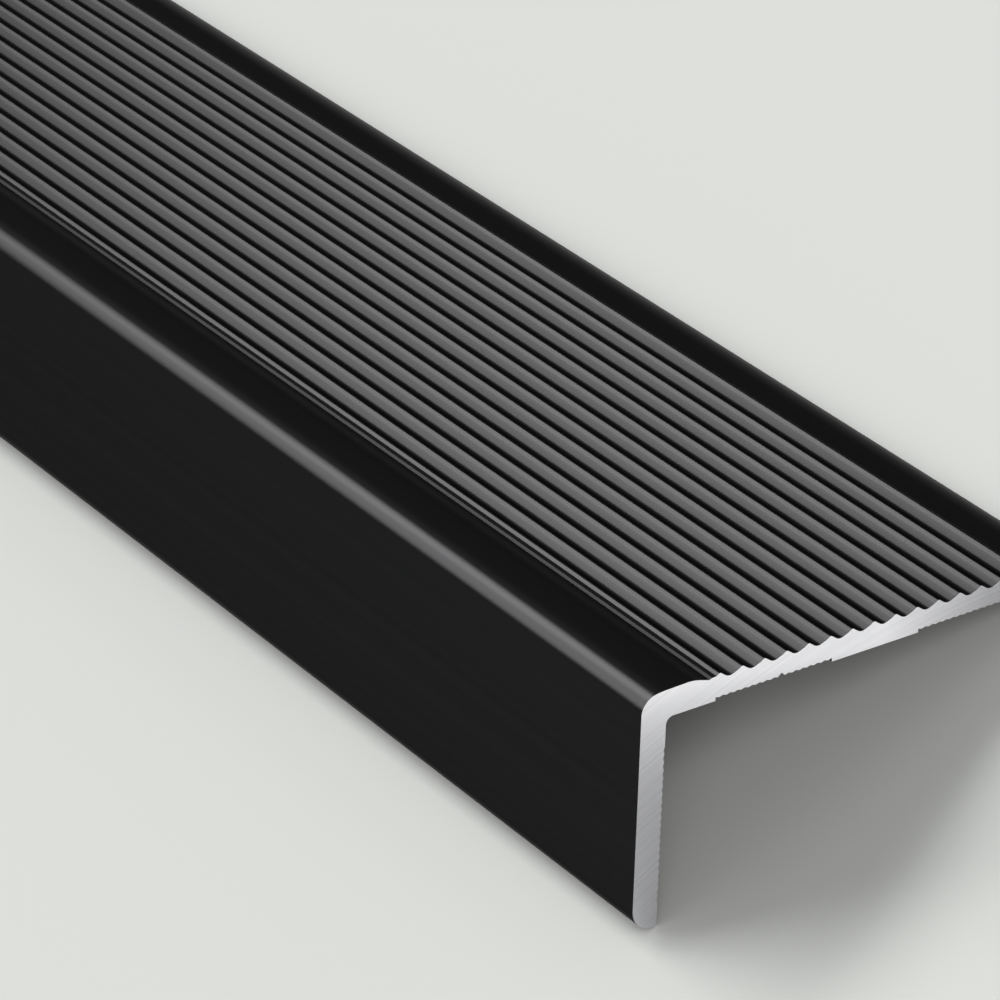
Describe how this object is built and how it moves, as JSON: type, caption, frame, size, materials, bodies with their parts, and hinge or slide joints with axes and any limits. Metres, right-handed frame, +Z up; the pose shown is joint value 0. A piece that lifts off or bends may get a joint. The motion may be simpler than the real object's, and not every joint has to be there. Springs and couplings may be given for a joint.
{
  "type": "stair nose",
  "caption": "Black anodised aluminium stair nose: a straight sawn length of L section with a rounded nose, a ribbed tread and glue channels, laid over a step's edge.",
  "frame": {"origin": "middle of the length on the floor, under the centre of the box around the section as it rests", "axes": "+X along the length, +Y from the riser towards the tread's back edge, +Z up with the nose on top"},
  "size_m": [1, 0.0552, 0.0231],
  "materials": {
    "black_anodised": "satin black anodised, with bare sawn ends"
  },
  "bodies": {
    "root": {"stair_nose": "black_anodised"}
  },
  "joints": []
}
